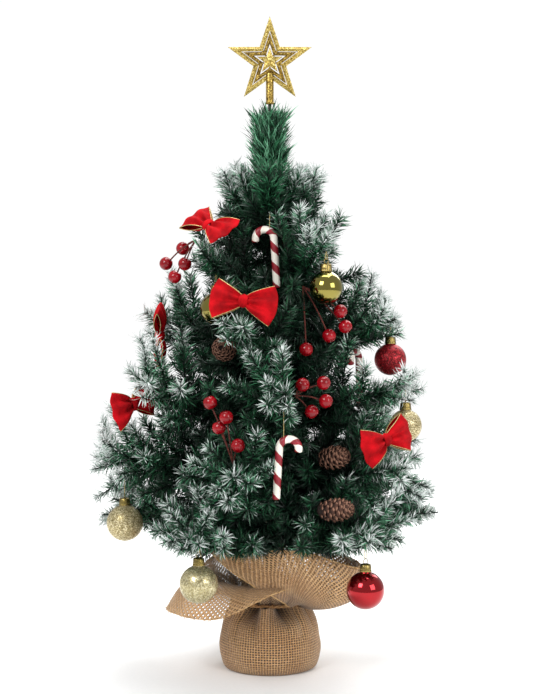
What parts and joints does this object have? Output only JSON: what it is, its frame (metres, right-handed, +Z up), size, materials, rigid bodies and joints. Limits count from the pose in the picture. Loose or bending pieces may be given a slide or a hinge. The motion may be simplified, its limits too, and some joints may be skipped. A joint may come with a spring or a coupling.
{
  "type": "artificial tabletop tree",
  "caption": "Small artificial tree with bendable frosted branches, hung ornaments, a star topper and a burlap-wrapped weighted base.",
  "frame": {"origin": "on the ground under the middle of the base, where the wrapped weight rests", "axes": "+Z up along the trunk to the star, -Y towards the front that shows the ornaments, +X to the right as seen from the front"},
  "size_m": [0.2986, 0.3031, 0.61],
  "materials": {
    "cement": "matte",
    "black_plastic": "matte",
    "burlap": "matte",
    "twine": "matte",
    "trunk_tape": "matte",
    "needles": "matte",
    "star_gold": "satin",
    "glitter_gold": "satin",
    "champagne": "satin",
    "gold_gloss": "gloss",
    "red_gloss": "gloss",
    "red_glitter": "satin",
    "cap_gold": "satin",
    "cane_white": "gloss",
    "bow_red": "matte",
    "berry_red": "gloss",
    "cone_brown": "matte"
  },
  "bodies": {
    "stand": {"base_weight": "cement", "pole_socket": "black_plastic", "burlap_wrap": "burlap", "neck_tie": "twine", "trunk_pole": "trunk_tape", "leader_tip": "needles"},
    "hung_gold_glitter_ball_left": {"gold_glitter_ball_left": "glitter_gold", "gold_glitter_ball_left_cap": "cap_gold"},
    "hung_champagne_ball": {"champagne_ball": "champagne", "champagne_ball_cap": "cap_gold"},
    "hung_red_gloss_ball": {"red_gloss_ball": "red_gloss", "red_gloss_ball_cap": "cap_gold"},
    "hung_gold_gloss_ball": {"gold_gloss_ball": "gold_gloss", "gold_gloss_ball_cap": "cap_gold"},
    "hung_gold_glitter_ball_right": {"gold_glitter_ball_right": "glitter_gold", "gold_glitter_ball_right_cap": "cap_gold"},
    "hung_red_glitter_ball": {"red_glitter_ball": "red_glitter", "red_glitter_ball_cap": "cap_gold"},
    "hung_gold_gloss_ball_behind": {"gold_gloss_ball_behind": "gold_gloss", "gold_gloss_ball_behind_cap": "cap_gold"},
    "hung_candy_cane_top": {"candy_cane_top": "cane_white"},
    "hung_candy_cane_front": {"candy_cane_front": "cane_white"},
    "hung_candy_cane_right": {"candy_cane_right": "cane_white"},
    "star": {"star_topper": "star_gold"},
    "limb_1_1": {"branch_1_1": "needles"},
    "limb_1_2": {"branch_1_2": "needles", "pine_cone_right": "cone_brown"},
    "limb_1_3": {"branch_1_3": "needles"},
    "limb_1_4": {"branch_1_4": "needles"},
    "limb_1_5": {"branch_1_5": "needles"},
    "limb_2_1": {"branch_2_1": "needles"},
    "limb_2_2": {"branch_2_2": "needles", "berry_sprig_lower": "berry_red"},
    "limb_2_3": {"branch_2_3": "needles", "bow_right": "bow_red", "pine_cone_middle": "cone_brown"},
    "limb_2_4": {"branch_2_4": "needles"},
    "limb_2_5": {"branch_2_5": "needles"},
    "limb_3_1": {"branch_3_1": "needles", "bow_left_low": "bow_red"},
    "limb_3_2": {"branch_3_2": "needles", "berry_sprig_front": "berry_red"},
    "limb_3_3": {"branch_3_3": "needles"},
    "limb_3_4": {"branch_3_4": "needles"},
    "limb_4_1": {"branch_4_1": "needles", "bow_left": "bow_red"},
    "limb_4_2": {"branch_4_2": "needles", "bow_middle": "bow_red", "pine_cone_left": "cone_brown"},
    "limb_4_3": {"branch_4_3": "needles"},
    "limb_4_4": {"branch_4_4": "needles"},
    "limb_5_1": {"branch_5_1": "needles", "berry_sprig_left": "berry_red", "bow_top_left": "bow_red"},
    "limb_5_2": {"branch_5_2": "needles", "berry_sprig_right": "berry_red"},
    "limb_5_3": {"branch_5_3": "needles"},
    "limb_6_1": {"branch_6_1": "needles"},
    "limb_6_2": {"branch_6_2": "needles"},
    "limb_6_3": {"branch_6_3": "needles"}
  },
  "joints": [
    {"name": "gold_glitter_ball_left_swing", "type": "hinge", "parent": "limb_2_1", "child": "hung_gold_glitter_ball_left", "pos_m": [-0.13578, -0.01427, 0.18752], "axis": [-0.9945, -0.1045, 0], "range_deg": [-15, 15]},
    {"name": "champagne_ball_swing", "type": "hinge", "parent": "limb_1_1", "child": "hung_champagne_ball", "pos_m": [-0.06219, -0.11696, 0.1321], "axis": [-0.4695, -0.8829, 0], "range_deg": [-15, 15]},
    {"name": "red_gloss_ball_swing", "type": "hinge", "parent": "limb_1_2", "child": "hung_red_gloss_ball", "pos_m": [0.08511, -0.10894, 0.13303], "axis": [0.6157, -0.788, 0], "range_deg": [-15, 15]},
    {"name": "gold_gloss_ball_swing", "type": "hinge", "parent": "limb_5_2", "child": "hung_gold_gloss_ball", "pos_m": [0.05094, -0.0676, 0.3895], "axis": [0.6018, -0.7986, 0], "range_deg": [-15, 15]},
    {"name": "gold_glitter_ball_right_swing", "type": "hinge", "parent": "limb_3_3", "child": "hung_gold_glitter_ball_right", "pos_m": [0.12494, -0.03583, 0.26126], "axis": [0.9613, -0.2756, 0], "range_deg": [-8, 15]},
    {"name": "red_glitter_ball_swing", "type": "hinge", "parent": "limb_4_3", "child": "hung_red_glitter_ball", "pos_m": [0.11319, 0.00395, 0.31943], "axis": [0.9994, 0.0349, 0], "range_deg": [-15, 15]},
    {"name": "gold_gloss_ball_behind_swing", "type": "hinge", "parent": "limb_5_1", "child": "hung_gold_gloss_ball_behind", "pos_m": [-0.04917, -0.03443, 0.36918], "axis": [-0.8192, -0.5736, 0], "range_deg": [-15, 15]},
    {"name": "candy_cane_top_swing", "type": "hinge", "parent": "limb_6_2", "child": "hung_candy_cane_top", "pos_m": [0, -0.03674, 0.42411], "axis": [0, -1, 0], "range_deg": [-15, 8]},
    {"name": "candy_cane_front_swing", "type": "hinge", "parent": "limb_3_2", "child": "hung_candy_cane_front", "pos_m": [0.01267, -0.12058, 0.25771], "axis": [0.1045, -0.9945, 0], "range_deg": [-11, 15]},
    {"name": "candy_cane_right_swing", "type": "hinge", "parent": "limb_4_3", "child": "hung_candy_cane_right", "pos_m": [0.08184, 0.00286, 0.30144], "axis": [0.9994, 0.0349, 0], "range_deg": [-15, 15]},
    {"name": "star_lift", "type": "slide", "parent": "stand", "child": "star", "axis": [0, 0, 1], "range_m": [0, 0.035]},
    {"name": "branch_1_1_bend", "type": "hinge", "parent": "stand", "child": "limb_1_1", "pos_m": [-0.00329, -0.00618, 0.13], "axis": [-0.8829, 0.4695, 0], "range_deg": [-10, 15]},
    {"name": "branch_1_2_bend", "type": "hinge", "parent": "stand", "child": "limb_1_2", "pos_m": [0.00431, -0.00552, 0.13], "axis": [-0.788, -0.6157, 0], "range_deg": [-10, 15]},
    {"name": "branch_1_3_bend", "type": "hinge", "parent": "stand", "child": "limb_1_3", "pos_m": [0.00666, 0.00216, 0.13], "axis": [0.309, -0.9511, 0], "range_deg": [-10, 15]},
    {"name": "branch_1_4_bend", "type": "hinge", "parent": "stand", "child": "limb_1_4", "pos_m": [0, 0.007, 0.13], "axis": [1, 0, 0], "range_deg": [-10, 15]},
    {"name": "branch_1_5_bend", "type": "hinge", "parent": "stand", "child": "limb_1_5", "pos_m": [-0.00673, 0.00193, 0.13], "axis": [0.2756, 0.9613, 0], "range_deg": [-10, 15]},
    {"name": "branch_2_1_bend", "type": "hinge", "parent": "stand", "child": "limb_2_1", "pos_m": [-0.00696, -0.00073, 0.176], "axis": [-0.1045, 0.9945, 0], "range_deg": [-10, 15]},
    {"name": "branch_2_2_bend", "type": "hinge", "parent": "stand", "child": "limb_2_2", "pos_m": [-0.00145, -0.00685, 0.176], "axis": [-0.9781, 0.2079, 0], "range_deg": [-10, 15]},
    {"name": "branch_2_3_bend", "type": "hinge", "parent": "stand", "child": "limb_2_3", "pos_m": [0.00559, -0.00421, 0.176], "axis": [-0.6018, -0.7986, 0], "range_deg": [-10, 15]},
    {"name": "branch_2_4_bend", "type": "hinge", "parent": "stand", "child": "limb_2_4", "pos_m": [0.00566, 0.00411, 0.176], "axis": [0.5878, -0.809, 0], "range_deg": [-10, 15]},
    {"name": "branch_2_5_bend", "type": "hinge", "parent": "stand", "child": "limb_2_5", "pos_m": [-0.00239, 0.00658, 0.176], "axis": [0.9397, 0.342, 0], "range_deg": [-10, 15]},
    {"name": "branch_3_1_bend", "type": "hinge", "parent": "stand", "child": "limb_3_1", "pos_m": [-0.00629, -0.00307, 0.232], "axis": [-0.4384, 0.8988, 0], "range_deg": [-10, 15]},
    {"name": "branch_3_2_bend", "type": "hinge", "parent": "stand", "child": "limb_3_2", "pos_m": [0.00073, -0.00696, 0.232], "axis": [-0.9945, -0.1045, 0], "range_deg": [-10, 15]},
    {"name": "branch_3_3_bend", "type": "hinge", "parent": "stand", "child": "limb_3_3", "pos_m": [0.00673, -0.00193, 0.232], "axis": [-0.2756, -0.9613, 0], "range_deg": [-10, 15]},
    {"name": "branch_3_4_bend", "type": "hinge", "parent": "stand", "child": "limb_3_4", "pos_m": [-0.00097, 0.00693, 0.232], "axis": [0.9903, 0.1392, 0], "range_deg": [-10, 15]},
    {"name": "branch_4_1_bend", "type": "hinge", "parent": "stand", "child": "limb_4_1", "pos_m": [-0.00679, 0.00169, 0.278], "axis": [0.2419, 0.9703, 0], "range_deg": [-10, 15]},
    {"name": "branch_4_2_bend", "type": "hinge", "parent": "stand", "child": "limb_4_2", "pos_m": [-0.00169, -0.00679, 0.278], "axis": [-0.9703, 0.2419, 0], "range_deg": [-10, 15]},
    {"name": "branch_4_3_bend", "type": "hinge", "parent": "stand", "child": "limb_4_3", "pos_m": [0.007, 0.00024, 0.278], "axis": [0.0349, -0.9994, 0], "range_deg": [-10, 15]},
    {"name": "branch_4_4_bend", "type": "hinge", "parent": "stand", "child": "limb_4_4", "pos_m": [0.00193, 0.00673, 0.278], "axis": [0.9613, -0.2756, 0], "range_deg": [-10, 15]},
    {"name": "branch_5_1_bend", "type": "hinge", "parent": "stand", "child": "limb_5_1", "pos_m": [-0.00536, -0.00375, 0.345], "axis": [-0.5736, 0.8192, 0], "range_deg": [-10, 15]},
    {"name": "branch_5_2_bend", "type": "hinge", "parent": "stand", "child": "limb_5_2", "pos_m": [0.00394, -0.00522, 0.345], "axis": [-0.7986, -0.6018, 0], "range_deg": [-10, 15]},
    {"name": "branch_5_3_bend", "type": "hinge", "parent": "stand", "child": "limb_5_3", "pos_m": [0.00327, 0.00566, 0.345], "axis": [0.866, -0.5, 0], "range_deg": [-10, 15]},
    {"name": "branch_6_1_bend", "type": "hinge", "parent": "stand", "child": "limb_6_1", "pos_m": [-0.00466, 0.00227, 0.392], "axis": [0.4384, 0.8988, 0], "range_deg": [-10, 15]},
    {"name": "branch_6_2_bend", "type": "hinge", "parent": "stand", "child": "limb_6_2", "pos_m": [0, -0.00519, 0.392], "axis": [-1, 0, 0], "range_deg": [-10, 15]},
    {"name": "branch_6_3_bend", "type": "hinge", "parent": "stand", "child": "limb_6_3", "pos_m": [0.00481, 0.00194, 0.392], "axis": [0.3746, -0.9272, 0], "range_deg": [-10, 15]}
  ]
}
